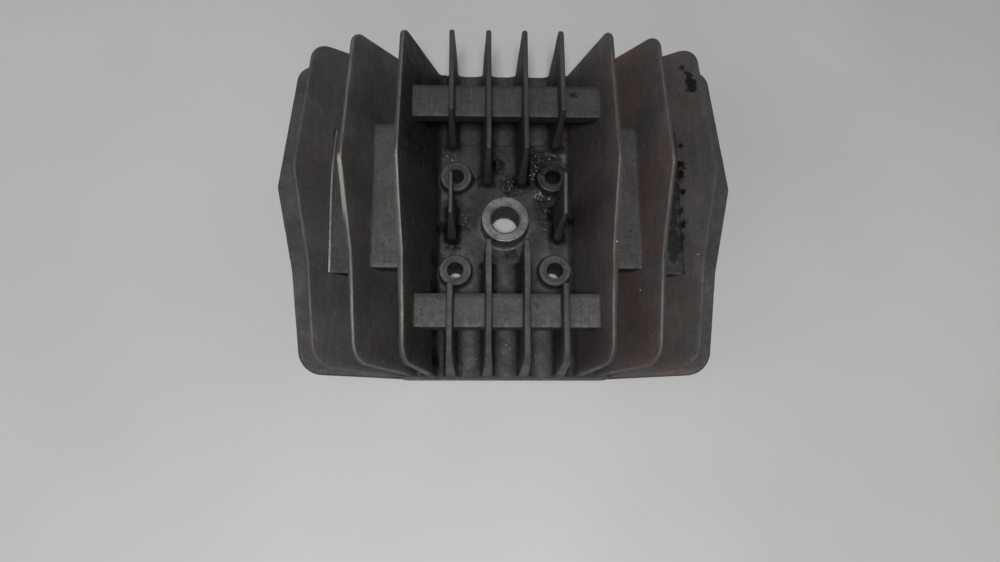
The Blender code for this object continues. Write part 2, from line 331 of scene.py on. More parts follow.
# %% [markdown]
# ### Sand-cast aluminium, stained by heat
# Aluminium poured into sand keeps a fine grain. On an engine it bakes to a dull brown-grey, and
# rust-brown on the exhaust side. Real grain is about 0.3 mm, too fine to show here, so it is
# drawn at about 1 mm. The film hides the metal's shine, so the shader is only partly metallic,
# and nearly fully so where wear lays the metal bare.

# %% Fins: cast aluminium, heat-stained
def fin_material():
    material, tree, shader, place, cloud = start_material("cast_aluminium_heat_stained", 0.62, 0.3)
    wide = cloud(26.0, 0.36, 0.66, detail=3.0)
    middle = cloud(6.0, 0.35, 0.68)
    grain = cloud(1.1, 0.25, 0.75, detail=3.0, rough=0.7)
    runs = cloud(2.0, 0.42, 0.7, stretch=(1.0, 11.0, 1.0))
    # The right-hand side was the hot side: brick-brown patches that thin out to the left.
    across = node(tree, "SeparateXYZ", {"Vector": place}).outputs["X"]
    hot = node(tree, "MapRange", {"Value": across, "From Min": 0.022, "From Max": 0.05})
    cool = node(tree, "MapRange", {"Value": across, "From Min": 0.098, "From Max": 0.075})
    rust = cloud(17.0, 0.38, 0.6, stretch=(1.0, 1.6, 1.0), detail=3.0)
    rust = times(tree, times(tree, rust, hot.outputs["Result"]), cool.outputs["Result"])
    plum = cloud(15.0, 0.56, 0.7, detail=3.0)
    colour = coats(
        tree, layer(tree, "#42403e", wide, "#555352"),
        (middle, "#3b3937", 0.3), (rust, "#5c423c", 0.5), (plum, "#4d3f42", 0.3),
        (runs, "#302e2c", 0.34), (grain, "#676460", 0.16),
    )
    colour, stain, _ = soiled_and_shaded(tree, place, colour, 3.2, ("#171615", 0.88), ("#0c0b0b", 0.9))
    flecks = cloud(1.6, 0.765, 0.79, detail=1.0)
    wear = clouded(tree, "wear", cloud(2.2, 0.2, 0.75, stretch=(1.0, 3.0, 1.0)), 0.5)
    colour = coats(tree, colour, (flecks, "#a5a29b", 0.5), (wear, "#c4c0b8", None))
    surface(tree, shader, colour, wear, (0.3, 0.85), middle, (0.56, 0.72), stain, -0.3)
    relief(tree, shader, [(wide, 0.3), (middle, 0.07), (grain, 0.07)])
    return material


# %% [markdown]
# ### Cast aluminium of the floor
# Between the fins the plate is a cool grey with a blue tinge, black along the fin roots with soot,
# oil and painted shade in the corners. Below, the gasket face was turned on a lathe, which leaves
# fine rings about the plug's axis, and the combustion chamber is black with carbon.

# %% Floor and bosses: cast aluminium, sooty, with painted shade and a turned gasket face
def floor_material():
    material, tree, shader, place, cloud = start_material("cast_aluminium_floor_soot_and_shade", 0.6, 0.25)
    wide = cloud(13.0, 0.36, 0.66, detail=3.0)
    middle = cloud(4.5, 0.35, 0.68)
    grain = cloud(1.0, 0.25, 0.75, detail=3.0, rough=0.7)
    smudge = cloud(9.0, 0.45, 0.68)
    # The turned face and the carbon below it, told apart by height and by radius.
    height, radius = round_the_axis(tree, place)
    below, low, inside = (
        node(tree, "Math", {0: value, 1: limit * MM}, operation="LESS_THAN").outputs[0]
        for value, limit in ((height, 0.3), (height, 8.5), (radius, 22.2))
    )
    turned = times(tree, lathe_rings(tree, radius, 0.8), below)
    colour = coats(
        tree, layer(tree, "#3f3f41", wide, "#525256"),
        (smudge, "#2c2b2b", 0.5), (middle, "#353436", 0.35), (grain, "#717174", 0.2),
        (below, "#a9a7a2", 0.75), (times(tree, inside, low), "#1d1814", 0.92),
    )
    tar = layer(tree, "#0b0a0a", cloud(7.0, 0.45, 0.62), "#2c2419", 0.6)
    paints = (("#1b1a1a", 0.85), (tar, 0.93))
    colour, stain, ragged = soiled_and_shaded(tree, place, colour, 2.6, *paints, 0.05)
    flecks = cloud(1.3, 0.74, 0.775, detail=1.0)
    wear = clouded(tree, "wear", cloud(2.2, 0.2, 0.75), 0.5)
    colour = coats(tree, colour, (flecks, "#b3b0a8", 0.55), (wear, "#9a9896", None))
    links = {0: wear, 1: times(tree, below, 0.8)}
    bare = node(tree, "Math", links, operation="MAXIMUM").outputs[0]
    surface(tree, shader, colour, bare, (0.25, 0.8), middle, (0.52, 0.7), stain, -0.15)
    lumps = times(tree, stain, ragged)
    relief(tree, shader, [(middle, 0.1), (grain, 0.06), (turned, 0.02), (lumps, 0.12)])
    return material


# %% [markdown]
# ### Cast aluminium of the webs
# The webs' flat tops are painted paler, as painted light from above, and their sides and
# undersides browner, as painted shade; the shader tells them apart from the surface's own
# direction. Fine scratches run over the tops, mostly front to back.

# %% Webs: cast aluminium, scuffed on top, with painted light on top and painted shade below
def web_material():
    material, tree, shader, place, cloud = start_material("cast_aluminium_scuffed_painted_light", 0.55, 0.3)
    wide = cloud(11.0, 0.36, 0.66, detail=4.0)
    middle = cloud(3.0, 0.35, 0.68)
    grain = cloud(0.9, 0.25, 0.75, detail=3.0, rough=0.7)
    facing = node(tree, "TexCoord").outputs["Normal"]
    up = node(tree, "SeparateXYZ", {"Vector": facing}).outputs["Z"]
    links = {"Value": up, "From Min": 0.55, "From Max": 0.95}
    top = node(tree, "MapRange", links).outputs["Result"]
    # The shaded copy on the sides and undersides and the lit copy on the tops are painted shade and
    # painted light
    shaded_side_colour, lit_top_colour = layer(tree, "#343231", wide, "#3e3c3b"), layer(tree, "#403f3e", wide, "#504f4e")
    scratches = cloud(0.7, 0.58, 0.7, stretch=(1.0, 22.0, 1.0), detail=2.0)
    crossing = cloud(0.8, 0.62, 0.7, stretch=(18.0, 2.0, 1.0), detail=2.0)
    colour = coats(
        tree, layer(tree, shaded_side_colour, top, lit_top_colour),
        (middle, "#3b3a39", 0.25), (grain, "#7a7978", 0.22),
        (times(tree, scratches, top), "#868482", 0.3), (times(tree, crossing, top), "#302f2e", 0.25),
    )
    colour, _, _ = soiled_and_shaded(tree, place, colour, 2.6, ("#1d1c1b", 0.8), ("#0c0b0b", 0.9))
    pits = cloud(2.3, 0.7, 0.75, detail=1.5)
    wear = clouded(tree, "wear", cloud(1.8, 0.2, 0.75), 0.5)
    colour = coats(tree, colour, (pits, "#2a2928", 0.7), (wear, "#cfccc6", None))
    surface(tree, shader, colour, wear, (0.3, 0.85), middle, (0.5, 0.66))
    relief(tree, shader, [(middle, 0.06), (grain, 0.045), (pits, -0.15), (scratches, -0.02)])
    return material


# %% [markdown]
# ### Machined aluminium of the plug's seat
# The ring under the plug's washer is turned flat, so it is the brightest metal on the head. The
# cutting tool's rings, drawn 0.55 mm apart so that they show, catch the light. The thread below
# is dark with burnt oil.

# %% Plug seat: machined aluminium
def seat_material():
    material, tree, shader, place, cloud = start_material("machined_aluminium", 0.42, 0.6)
    wide = cloud(7.0, 0.36, 0.66)
    middle = cloud(1.8, 0.35, 0.7)
    _, radius = round_the_axis(tree, place)
    rings = lathe_rings(tree, radius, 0.55)
    soot_and_shade = clouded(tree, "soot_and_shade", cloud(2.2, 0.2, 0.8), 0.65)
    colour = coats(
        tree, layer(tree, "#7d7c7a", wide, "#989794"),
        (middle, "#5a5957", 0.55), (rings, "#e6e4e0", 0.07), (soot_and_shade, "#1f1d1b", 0.88),
    )
    surface(tree, shader, colour, soot_and_shade, (0.6, 0.05), wide, (0.36, 0.5), soot_and_shade, 0.3)
    relief(tree, shader, [(middle, 0.04), (rings, 0.012)])
    return material


# %% [markdown]
# ### Dirt and paint
# The crumbs around the far right stud are baked oil and pale mineral grit, brittle and dull,
# and a fleck of red paint is stuck at the near end. A little noise varies their colours.

# %% Crumbs and paint
def speckled_material(name, dark, light, roughness):
    material, tree, shader, _, cloud = start_material(name, roughness, 0.0)
    share = cloud(0.9, 0.35, 0.65, detail=2.0)
    colour = layer(tree, dark, share, light)
    tree.links.new(colour, shader.inputs["Base Color"])
    relief(tree, shader, [(share, 0.1)])
    return material


FINISHES = {
    "fin": fin_material(),
    "floor": floor_material(),
    "web": web_material(),
    "seat": seat_material(),
    "tar": speckled_material("baked_oil_crumbs", "#0c0b0a", "#26221c", 0.6),
    "grit": speckled_material("pale_mineral_grit", "#807b68", "#c4c0b3", 0.7),
    "paint": speckled_material("red_enamel_fleck", "#8e3a30", "#b96a5c", 0.4),
}
print("finishes:", ", ".join(material.name for material in FINISHES.values()))

# %% [markdown]
# ## Turning a bmesh into a piece
# A piece's place is in its mesh, and its object stays at the origin. Merging doubles and turning
# the faces outwards come last, so that a mirrored shape isn't inside out.

# %% Helpers for pieces
ALONG_X, ALONG_Y, ALONG_Z = (1.0, 0.0, 0.0), (0.0, 1.0, 0.0), (0.0, 0.0, 1.0)
CUT_TOLERANCE = 0.00001 * MM
MERGE_DISTANCE = 0.004 * MM
LONGEST_AT_STAIN = 1.2 * MM


def cut_at(bm, places, normal):
    """Cuts new edges across the mesh with parallel planes, without removing anything."""
    for place in places:
        geometry = bm.verts[:] + bm.edges[:] + bm.faces[:]
        bmesh.ops.bisect_plane(
            bm, geom=geometry, dist=CUT_TOLERANCE, plane_co=Vector(normal) * place, plane_no=normal
        )


def bevelled(bm, geometry, offset, segments, affect="EDGES", clamp=False):
    """Rounds edges, or the corners of a flat face."""
    bmesh.ops.bevel(
        bm, geom=geometry, offset=offset, offset_type="OFFSET", segments=segments, profile=0.5,
        affect=affect, material=-1, clamp_overlap=clamp,
    )


def drawn_points(drawn):
    """The points among what an extrude has made."""
    return [item for item in drawn["geom"] if isinstance(item, bmesh.types.BMVert)]


def dirt_and_shade_layers(bm):
    """New numbers for each point of a mesh: wear, and soot with painted shade."""
    return bm.verts.layers.float.new("wear"), bm.verts.layers.float.new("soot_and_shade")


def spaced(low, high, step):
    """Even places between low and high, about a step apart."""
    count = max(1, round((high - low) / step))
    return [low + (high - low) * i / count for i in range(1, count)]


def fillet(distance, radius):
    """How far a rounded corner of that radius still reaches out at a distance from it."""
    if distance >= radius:
        return 0.0
    return radius - math.sqrt(radius**2 - (radius - max(0.0, distance)) ** 2)


def midpoint(edge):
    return (edge.verts[0].co + edge.verts[1].co) / 2


def finer_at_stains(bm):
    """Splits the long edges that a stain reaches, so that its outline has points to follow."""
    low = [min(vert.co[i] for vert in bm.verts) for i in range(3)]
    high = [max(vert.co[i] for vert in bm.verts) for i in range(3)]
    near = []
    for *centre, radius, _ in STAINS:
        gaps = [max(low[i] - centre[i] * MM, centre[i] * MM - high[i], 0.0) for i in range(3)]
        if math.hypot(*gaps) < radius * MM:
            near.append((Vector(centre) * MM, 1.1 * radius * MM))
    for _ in range(2):
        reached = [
            edge for edge in bm.edges
            if edge.calc_length() > LONGEST_AT_STAIN
            and any((midpoint(edge) - centre).length < reach for centre, reach in near)
        ]
        bmesh.ops.subdivide_edges(bm, edges=reached, cuts=1, use_grid_fill=True)


def piece(bm, name, finish, slot, nodes=(), sharp=38.0):
    """Finishes a bmesh as an object that rides on the head."""
    bmesh.ops.remove_doubles(bm, verts=bm.verts, dist=MERGE_DISTANCE)
    bmesh.ops.recalc_face_normals(bm, faces=bm.faces)
    if slot in ("cast_fin", "cast_web"):
        finer_at_stains(bm)
    stain = bm.verts.layers.float.get("stain") or bm.verts.layers.float.new("stain")
    for vert in bm.verts:
        vert[stain] = max(vert[stain], stain_at(vert.co))
    for face in bm.faces:
        face.smooth = True
    mesh = bpy.data.meshes.new(name)
    bm.to_mesh(mesh)
    bm.free()
    mesh.set_sharp_from_angle(angle=math.radians(sharp))
    mesh.materials.append(FINISHES[finish])
    obj = placed(name, mesh)
    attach(obj, "root")
    if nodes:
        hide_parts(*nodes)
    return obj


# %% [markdown]
# ## The fins
# A sand-cast fin is thin at the top, so that the pattern pulls out of the sand, and thick at
# the root. Its top edge peaks a little beyond the plug, and its end corners are round. It could
# be a box cut by Booleans; here the outline is one face whose corners are bevelled, drawn out
# to a wall, its rim bevelled round, and cut into a grid. The grid lets the root swell into a
# fillet and the rim take dents and wear.

# %% A fin's outline and its wear
RIM_ROUND = 0.95 * MM
SINK = 2.5 * MM  # how deep a fin reaches into the plate
END_INSET = 0.12 * MM  # keeps a fin's end just inside the plate's end face
ROOT_FILLET = {1: 3.2, 2: 3.2, 3: 3.4, 4: 3.0, 5: 2.4, 6: 2.2}
# How bright the top edge is rubbed, by side (left -1, right 1) and number
RIM_WEAR = {
    (-1, 6): 0.05, (-1, 5): 0.28, (-1, 4): 0.85, (-1, 3): 0.7, (-1, 2): 0.08, (-1, 1): 0.04,
    (1, 1): 0.03, (1, 2): 0.06, (1, 3): 0.36, (1, 4): 0.4, (1, 5): 0.12, (1, 6): 0.04,
}


def drop(number, y):
    """How far a fin's top edge lies below its peak."""
    far_drop, near_drop = ENDS[number][0] * MM, ENDS[number][1] * MM
    if y >= PEAK_Y:
        return far_drop * (y - PEAK_Y) / (FAR_Y - PEAK_Y)
    if y >= KINK_Y:
        return KINK_DROP * (PEAK_Y - y) / (PEAK_Y - KINK_Y)
    return KINK_DROP + (near_drop - KINK_DROP) * (KINK_Y - y) / (KINK_Y - NEAR_Y)


def half_thickness(number, up):
    """Half of a fin's thickness at a distance up from its root."""
    _, _, _, length, low, high = FAN[number]
    return (low + (high - low) * up / (length * MM)) / 2 * MM


def floor_at(y):
    """Height of the plate's top above the floor, with the plateau's rounded step."""
    near, far = PLATEAU
    step = 0.5 * MM
    return PLATEAU_RISE * smooth(near - step, near + step, y) * smooth(far + step, far - step, y)


def rubbed(side, number, y):
    """How much of the rim is rubbed bright at a place along it."""
    at_peak = ramp(2.5, 0.5, abs(y - PEAK_Y)) * (number in (3, 4))
    strength = RIM_WEAR[side, number] + 0.25 * at_peak
    nearer = ramp(24.0, 14.0, y)
    fade = ramp(-45.0, 5.0, y)
    at_corner = smooth(NEAR_Y + 3.0 * MM, NEAR_Y + 16.0 * MM, y)
    return strength * (0.3 + nearer * (0.3 + 0.4 * fade)) * (0.3 + 0.7 * at_corner)


def grime_and_shade(side, number, place):
    """Darkening that covers a whole face. The upright fins are darker all over, the third on the
    left is black with soot on its inner face, its twin on the right has one smudge by the plug,
    and the sixth on the right is darkened as painted shade."""
    if number <= 2:
        return 0.5
    if (side, number) == (-1, 3) and place.x < 0.0:
        return 0.5 + 0.5 * ramp(10.0, 40.0, place.y)
    if (side, number) == (1, 3) and place.x < 0.0:
        from_middle = math.hypot(place.y - 2.0 * MM, 1.5 * (place.z - 11.0 * MM))
        return 0.55 * ramp(13.0, 3.0, from_middle)
    # The sixth fin on the right gets painted shade
    return 0.14 if (side, number) == (1, 6) else 0.0


def inner_corner(side, number, place):
    """The corner towards the middle is rubbed most, and the fourth fin on the left across its
    whole rim for a short way from the peak."""
    corner = ramp(0.15, -0.7, place.x)
    if (side, number) == (-1, 4):
        stretch = ramp(-14.0, -2.0, place.y) * ramp(20.0, 16.5, place.y)
        corner = max(corner, 0.8 * stretch)
    return corner


def rounded_end(inward, across, half, swell):
    """Place of a point near a cut-back end, measured inwards: round in plan, wider at its foot."""
    reach = 0.85 * half
    share = min(1.0, abs(across) / half)
    if inward > 1.2 * MM:
        return max(inward, reach * (1.0 - math.sqrt(1.0 - share**2)) - swell)
    return max(inward - swell, reach * (1.0 - math.sqrt(1.0 - share**2)) - swell)


def distance_to(outline, y, up):
    """Distance from a point to the nearest side of the outline, the root's side left out."""
    nearest = 1.0
    for (y1, up1), (y2, up2) in outline:
        along, rise = y2 - y1, up2 - up1
        share = ((y - y1) * along + (up - up1) * rise) / max(along * along + rise * rise, 1e-12)
        share = min(1.0, max(0.0, share))
        nearest = min(nearest, math.hypot(y - y1 - share * along, up - up1 - share * rise))
    return nearest


# %% A fin's wall
FIN_STEP = (3.3 * MM, 3.5 * MM)  # the grid's step along a fin and up it
FIN_LEVELS = [0.0, 0.25, 0.6, 1.1, 1.8, 2.6, 3.4]  # cuts near the root, in mm
PLATEAU_LEVELS = [3.25, 3.6, 4.1, 4.8, 5.6, 6.4]  # more where a fin stands on the plateau


def corner_rounding(ring, number, near_end, far_end):
    """Each corner's radius in mm: a cut-back end is nearly sharp, and the bends are soft."""
    _, _, far_corner, near_corner = ENDS[number]
    rounding = {ring[1]: near_corner if near_end else 0.8, ring[-2]: far_corner if far_end else 0.8}
    rounding.update({corner: 3.0 for corner in ring[2:-2]})
    return rounding


def fin_wall(number, low, high, near_end, far_end):
    """A fin's wall with a round rim, upright on its root, and the sides of its outline."""
    length = FAN[number][3] * MM
    bm = bmesh.new()
    bends = [y for y in (low, KINK_Y, PEAK_Y, high) if low <= y <= high]
    places = [(low, -SINK), *[(y, length - drop(number, y)) for y in bends], (high, -SINK)]
    ring = [bm.verts.new((0.0, y, up)) for y, up in places]
    bm.faces.new(ring)
    for corner, radius in corner_rounding(ring, number, near_end, far_end).items():
        others = [edge.other_vert(corner).co for edge in corner.link_edges]
        one, other = ((place - corner.co).normalized() for place in others)
        reach = radius * MM / math.tan(one.angle(other) / 2.0)
        bevelled(bm, [corner], reach, 8, "VERTICES")
    above_foot = -SINK + 0.1 * MM
    outline = [
        [(vert.co.y, vert.co.z) for vert in edge.verts]
        for edge in bm.edges
        if max(vert.co.z for vert in edge.verts) > above_foot
    ]
    outer = set(drawn_points(bmesh.ops.extrude_face_region(bm, geom=bm.faces[:])))
    for vert in bm.verts:
        vert.co.x = half_thickness(number, vert.co.z) * (1 if vert in outer else -1)
    rim = [
        edge for edge in bm.edges
        if (edge.verts[0] in outer) == (edge.verts[1] in outer)
        and edge.verts[0].co.z + edge.verts[1].co.z > -2 * SINK + 0.1 * MM
    ]
    bevelled(bm, rim, RIM_ROUND, 3, clamp=True)
    cut_at(bm, spaced(low, high, FIN_STEP[0]), ALONG_Y)
    cut_at(bm, [0.0], ALONG_X)
    levels = FIN_LEVELS + (PLATEAU_LEVELS if number <= 2 else [])
    levels = [level * MM for level in sorted(levels)]
    cut_at(bm, levels + spaced(levels[-1], length, FIN_STEP[1]), ALONG_Z)
    return bm, outline


# %% One fin
CUT_END_REACH = 3.2 * MM  # how far from a cut-back end its rounding reaches
WARP, WARP_LENGTH = 0.22 * MM, 22.0 * MM
RIPPLE, RIPPLE_LENGTH = 0.12 * MM, 5.0 * MM
# Painted shade on the rounded top, so that the up-facing rim is no lighter than the faces
RIM_PAINTED_SHADE = 0.3


def cast_fin(number, side, y_low, y_high, name):
    root_x, root_z, lean = FAN[number][:3]
    near_end, far_end = y_low == NEAR_Y, y_high == FAR_Y
    low = y_low + (END_INSET if near_end else 0.0)
    high = y_high - (END_INSET if far_end else 0.0)
    bm, outline = fin_wall(number, low, high, near_end, far_end)
    wear, soot_and_shade = dirt_and_shade_layers(bm)
    seed = Vector((number * 7.0 + side * 3.0, y_low * 40.0, 0.0))
    for vert in bm.verts:
        co = vert.co
        y, up = co.y, co.z
        from_rim = distance_to(outline, y, up)
        above = up - (floor_at(y) if number <= 2 else 0.0)
        on_rim = ramp(0.9, 0.2, from_rim) * (up > 8.0 * MM)
        vert[wear] = rubbed(side, number, y) * on_rim * inner_corner(side, number, co)
        # Near the root a face is painted darker: soot, and painted shade in the corner with the
        # floor
        foot_soot_and_shade = 0.85 * ramp(9.0, 0.3, above)
        face_soot_and_shade = foot_soot_and_shade + grime_and_shade(side, number, co)
        if number <= 2:
            skirt = 0.6 if near_end or far_end else 0.42
            face_soot_and_shade = min(face_soot_and_shade, skirt + (0.82 - skirt) * smooth(0.0, 1.4 * MM, above))
        vert[soot_and_shade] = face_soot_and_shade * (1.0 - on_rim) + RIM_PAINTED_SHADE * on_rim
        # The fillet at the root, on both faces and at the ends that are cut back.
        swell = fillet(above, ROOT_FILLET[number] * MM)
        half = half_thickness(number, up) + swell
        if abs(co.x) > 0.01 * MM:
            co.x += math.copysign(swell, co.x)
        # A cut-back end is also painted darker: soot, and painted shade on its end face
        if not near_end and y < low + CUT_END_REACH:
            co.y = low + rounded_end(y - low, co.x, half, swell)
            vert[soot_and_shade] += 0.35 * (1.0 - on_rim)
        if not far_end and y > high - CUT_END_REACH:
            co.y = high - rounded_end(high - y, co.x, half, swell)
            vert[soot_and_shade] += 0.3 * (1.0 - on_rim)
        # Slight warp of the wall and unevenness of its rim.
        height = ramp(4.0, 30.0, up)
        spot = Vector((y / WARP_LENGTH, up / WARP_LENGTH, 0.0)) + seed
        co.x += WARP * height * noise.noise(spot)
        ripple = noise.noise(Vector((y / RIPPLE_LENGTH, 0.0, 0.0)) + seed) - 0.8
        co.z += RIPPLE * ripple * ramp(3.0, 0.5, from_rim) * height
        if not near_end and not far_end:
            co.x *= 1.0 - 0.25 * ramp(10.0, 45.0, up)
    lean_turn = Matrix.Rotation(math.radians(lean), 4, "Y")
    stand = Matrix.Translation((root_x * MM, 0.0, FLOOR_Z + root_z * MM))
    mirror = Matrix.Scale(side, 4, ALONG_X)
    bmesh.ops.transform(bm, matrix=mirror @ stand @ lean_turn, verts=bm.verts)
    return piece(bm, name, "fin", "cast_fin", [name.replace("cast_", "")])


# %% All eighteen fins
STRETCHES = [
    (1, CUT_PLUG, FAR_Y, "_far"),
    (1, NEAR_Y, -CUT_PLUG, "_near"),
    (2, CUT_STUD, FAR_Y, "_far"),
    (2, -CUT_MIDDLE, CUT_MIDDLE, "_middle"),
    (2, NEAR_Y, -CUT_STUD, "_near"),
    *[(number, NEAR_Y, FAR_Y, "") for number in (3, 4, 5, 6)],
]
fins = [
    cast_fin(number, side, low, high, f"cast_fin_{hand}_{number}{stretch}")
    for side, hand in ((-1, "left"), (1, "right"))
    for number, low, high, stretch in STRETCHES
]
print("fins:", len(fins), "faces:", sum(len(fin.data.polygons) for fin in fins))

# %% [markdown]
# ## The webs
# Short bridges tie neighbouring fins together, so that they don't ring or snap off, with open
# space below them. A web's section is one face that follows the two fins' faces, drawn out along
# Y, its long edges bevelled. Cuts beside the fins let the top rise into a small fillet there, as
# sand can't hold a sharp inner corner.

# %% Where a fin's face is
def face_x(number, height, outward):
    """Where a fin's outer (1) or inner (-1) face is at a height above the floor, in metres."""
    root_x, root_z, lean, length, low, high = FAN[number]
    lean = math.radians(lean)
    taper = (high - low) / length / 2
    up = (height / MM - root_z + outward * low / 2 * math.sin(lean)) / (
        math.cos(lean) - outward * taper * math.sin(lean)
    )
    middle = (root_x + up * math.sin(lean)) * MM
    return middle + outward * half_thickness(number, up * MM) * math.cos(lean)


# %% One web
WEB_THICKNESS = 6.5 * MM
WEB_SINK = 0.7 * MM
WEB_FILLET = 0.6 * MM
WEB_STEP = 2.5 * MM
WEB_EDGE = 0.35 * MM
# top above the floor, near end, far end, in mm
FAR_BAR = (37.3, 43.5, 60.0)
NEAR_BAR = (30.0, -58.7, -42.6)
INNER_WEB = (31.0, -30.7, 42.0)
OUTER_WEB = (26.0, -32.0, 41.6)


def cast_web(inner, outer, side, extent, name, darkening=0.0):
    """A web from one fin to another. Inner is 0 for a web that crosses the middle."""
    top, y_low, y_high = (value * MM for value in extent)

    def ends_at(height):
        left = -face_x(1, height, -1) if inner == 0 else face_x(inner, height, 1)
        return left, face_x(outer, height, -1)

    bm = bmesh.new()
    section = []
    for height, order in ((top, 1), (top - WEB_THICKNESS, -1)):
        left, right = ends_at(height)
        row = [(left - WEB_SINK, height), (right + WEB_SINK, height)]
        section += row[::order]
    face = bm.faces.new([bm.verts.new((x, y_low, height)) for x, height in section])
    drawn = drawn_points(bmesh.ops.extrude_face_region(bm, geom=[face]))
    bmesh.ops.translate(bm, verts=drawn, vec=(0.0, y_high - y_low, 0.0))
    across = []
    for edge in bm.edges:
        run = edge.verts[0].co - edge.verts[1].co
        if abs(run.y) < 0.01 * MM and abs(run.z) < 0.01 * MM:
            across.append(edge)
    bevelled(bm, across, WEB_EDGE, 2)
    left, right = ends_at(top)
    beside = [0.1, 0.3, 0.6]
    cuts = [left + step * MM for step in beside] + [right - step * MM for step in beside]
    cut_at(bm, cuts + spaced(left + 1.5 * MM, right - 1.5 * MM, WEB_STEP), ALONG_X)
    cut_at(bm, spaced(y_low, y_high, WEB_STEP), ALONG_Y)
    _, soot_and_shade = dirt_and_shade_layers(bm)
    middle = top - WEB_THICKNESS / 2
    for vert in bm.verts:
        co = vert.co
        left, right = ends_at(co.z)
        beside_fin = max(0.0, min(co.x - left, right - co.x))
        swell = fillet(beside_fin, WEB_FILLET)
        end_edge = min(co.y - y_low, y_high - co.y)
        in_corner = ramp(1.8, 0.2, beside_fin)
        # Below the top the sides and underside are painted darker as shade, and so are the corners
        # beside the fins and the end faces
        vert[soot_and_shade] = darkening + 0.15 * in_corner + 0.6 * (co.z < top - 0.3 * MM)
        if end_edge < 0.4 * MM:
            vert[soot_and_shade] += 0.3
        co.z += math.copysign(swell, co.z - middle)
        spot = Vector((co.x, co.y, 0.0)) / (6.0 * MM)
        co.z += 0.08 * MM * noise.noise(spot)
    bmesh.ops.translate(bm, verts=bm.verts, vec=(0.0, 0.0, FLOOR_Z))
    bmesh.ops.transform(bm, matrix=Matrix.Scale(side, 4, ALONG_X), verts=bm.verts)
    return piece(bm, name, "web", "cast_web", [name.replace("cast_", "")])


# %% All fourteen webs
# The far bars' extra darkening is painted shade for the weaker light at the far side; the blocks are
# darkened by the amount given
webs = [
    cast_web(0, 1, 1, FAR_BAR, "cast_web_far_centre", 0.3),
    cast_web(0, 1, 1, NEAR_BAR, "cast_web_near_centre"),
]
for side, hand in ((-1, "left"), (1, "right")):
    for inner, outer in ((1, 2), (2, 3)):
        for bar, end, darkening in ((FAR_BAR, "far", 0.3 + 0.04 * side), (NEAR_BAR, "near", 0.0)):
            name = f"cast_web_{end}_{hand}_{inner}_{outer}"
            webs.append(cast_web(inner, outer, side, bar, name, darkening))
    webs.append(cast_web(3, 4, side, INNER_WEB, f"cast_web_{hand}_3_4", 0.22 + 0.16 * side))
    webs.append(cast_web(4, 5, side, OUTER_WEB, f"cast_web_{hand}_4_5", 0.65 + 0.13 * side))
print("webs:", len(webs))

# %% [markdown]
# ### The flash line
# Where the two halves of the mould met beside the fifth fin on the left, a thin line of metal
# squeezed out. It lies on the fin's face just above the web's top and is rubbed bright. A
# six-sided face is drawn out from point to point along the line, and its ends are flattened.

# %% Flash line on the outer left web
# x, y and how far the fin's face lifts it above the web's top, in mm
FLASH_LINE = [
    (-82.6, 41, 0.1), (-83.3, 30, 0.35), (-83.7, 18.5, 0.65), (-83.7, 10, 0.65),
    (-83.55, 0, 0.55), (-83.2, -16, 0.35), (-82.95, -31.6, 0.15),
]
FLASH_RADIUS = 0.5 * MM
web_top = FLOOR_Z + OUTER_WEB[0] * MM
bm = bmesh.new()
line = [Vector((x, y, lift)) * MM + Vector((0.0, 0.0, web_top)) for x, y, lift in FLASH_LINE]
lay = Matrix.Translation(line[0]) @ Matrix.Rotation(math.pi / 2, 4, "X")
bmesh.ops.create_circle(bm, cap_ends=True, segments=6, radius=FLASH_RADIUS, matrix=lay)
head_face = bm.faces[:]
for place, following in zip(line, line[1:]):
    grown = bmesh.ops.extrude_face_region(bm, geom=head_face)
    head_face = [item for item in grown["geom"] if isinstance(item, bmesh.types.BMFace)]
    bmesh.ops.translate(bm, verts=drawn_points(grown), vec=following - place)
wear, _ = dirt_and_shade_layers(bm)
for vert in bm.verts:
    vert[wear] = 0.15 + 0.65 * ramp(32.0, 14.0, vert.co.y)
    if vert.co.y > 40.9 * MM or vert.co.y < -31.5 * MM:
        vert.co.z = web_top + (vert.co.z - web_top) * 0.4
piece(bm, "mould_flash_line", "web", "cast_web")
print("flash line points:", len(FLASH_LINE))

# %% [markdown]
# ## The base
# The CAD node already holds the plate's holes, chamber and pad exactly, so the base starts as
# a copy of that mesh. Its loose triangles are merged and joined into flat faces, its long top
# edges are rounded, and it is cut into a grid, so that soot and painted shade can darken the fins'
# feet.

# %% Where soot and painted shade lie on the floor
# root's x, near end, far end, and how far soot and painted shade reach from it in mm
FOOTPRINTS = []
for side in (-1, 1):
    first, second, third = (side * FAN[number][0] for number in (1, 2, 3))
    FOOTPRINTS += [(first, CUT_PLUG, FAR_Y, 10.5), (first, NEAR_Y, -CUT_PLUG, 9.8)]
    FOOTPRINTS += [(second, CUT_STUD, FAR_Y, 10.5), (second, NEAR_Y, -CUT_STUD, 9.8)]
    FOOTPRINTS += [(second, -CUT_MIDDLE, CUT_MIDDLE, 7.0)]
    FOOTPRINTS += [(third, NEAR_Y, PLATEAU[0], 7.5), (third, PLATEAU[1], FAR_Y, 8.5)]
# Smudges of soot: x, y and radius in mm, strength; the last three are painted shadow under the far
# bar
SMUDGES = [
    (-18, 4, 12, 1), (-13, 14, 10, 0.85), (-20, 12, 8, 0.6), (-14, -9, 8, 0.4), (0, 40, 11, 0.7),
    (17, 8, 10, 0.7), (17, -8, 9, 0.5), (22, 0, 10, 0.7), (2, -17, 9, 0.6), (12, -20, 8, 0.5),
    (-28, -20, 6, 0.35), (28, 12, 8, 0.7), (17, 56, 9, 0.6), (-17, 56, 7, 0.4), (0, 58, 8, 0.5),
]
# A spot rubbed bright beyond the far right stud
PALE_SPOT = Vector((31.6, 37.7, 15.0)) * MM


